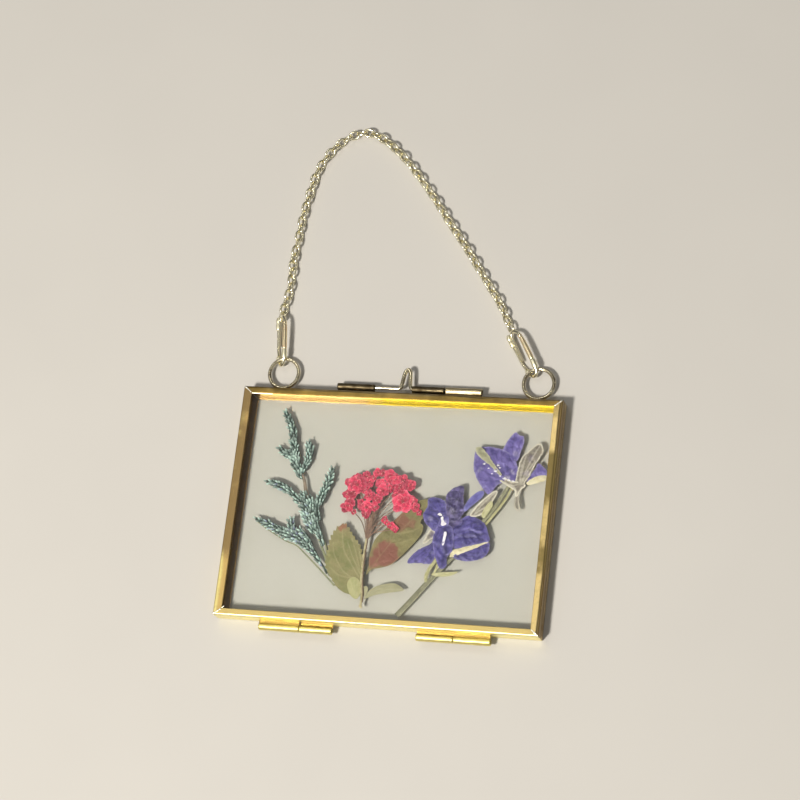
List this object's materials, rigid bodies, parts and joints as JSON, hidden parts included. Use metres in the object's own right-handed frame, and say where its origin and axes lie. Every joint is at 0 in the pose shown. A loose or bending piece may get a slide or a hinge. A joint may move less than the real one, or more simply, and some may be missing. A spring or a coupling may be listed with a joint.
{
  "type": "pressed flower frame",
  "caption": "Small hinged brass frame of glass panes that press dried flowers and leaves, with hanging rings, snap clasps and a fine chain.",
  "frame": {"origin": "under the middle of the closed frame with its hinges and rings, on the surface it lies on", "axes": "+Z out of the front pane, +X along the frame's width, +Y towards the hanging rings"},
  "size_m": [0.09, 0.1461, 0.0058],
  "materials": {
    "brass": "worn polished brass",
    "chain_gold": "bright gilt",
    "glass": "clear",
    "dried_leaf": "matte",
    "dried_stem": "matte",
    "coral_petal": "matte",
    "violet_petal": "matte",
    "silver_green": "matte"
  },
  "bodies": {
    "back_half": {"back_glass": "glass", "back_rail_bottom": "brass", "back_rail_left": "brass", "back_rail_right": "brass", "back_rail_top": "brass", "chain": "chain_gold", "clasp_left": "chain_gold", "clasp_left_lever": "chain_gold", "clasp_right": "chain_gold", "clasp_right_lever": "chain_gold", "hinge_left_back_knuckle": "brass", "hinge_left_pin": "brass", "hinge_right_back_knuckle": "brass", "hinge_right_pin": "brass", "larkspur_inner_petal": "violet_petal", "larkspur_lower": "violet_petal", "larkspur_spur": "violet_petal", "larkspur_stem": "dried_stem", "larkspur_upper": "violet_petal", "latch_tube_middle": "brass", "latch_tube_outer": "brass", "leaf_large": "dried_leaf", "leaf_narrow": "dried_leaf", "leaf_oval": "dried_leaf", "leaf_serrated": "dried_leaf", "ring_left": "brass", "ring_right": "brass", "spiraea_buds": "coral_petal", "spiraea_florets_left": "coral_petal", "spiraea_florets_middle": "coral_petal", "spiraea_florets_right": "coral_petal", "spiraea_stem": "dried_stem", "sprig_left": "silver_green", "sprig_lower": "silver_green", "sprig_main": "silver_green", "sprig_right": "silver_green"},
    "front_half": {"front_glass": "glass", "front_rail_bottom": "brass", "front_rail_left": "brass", "front_rail_right": "brass", "front_rail_top": "brass", "hinge_left_front_knuckle": "brass", "hinge_right_front_knuckle": "brass", "latch_keeper_tube": "brass"},
    "latch": {"latch_pin": "brass"}
  },
  "joints": [
    {"name": "front_hinge", "type": "hinge", "parent": "back_half", "child": "front_half", "pos_m": [0, -0.03776, 0.0029], "axis": [1, 0, 0], "range_deg": [0, 180]},
    {"name": "latch_slide", "type": "slide", "parent": "back_half", "child": "latch", "axis": [1, 0, 0], "range_m": [-0.0065, 0]}
  ]
}
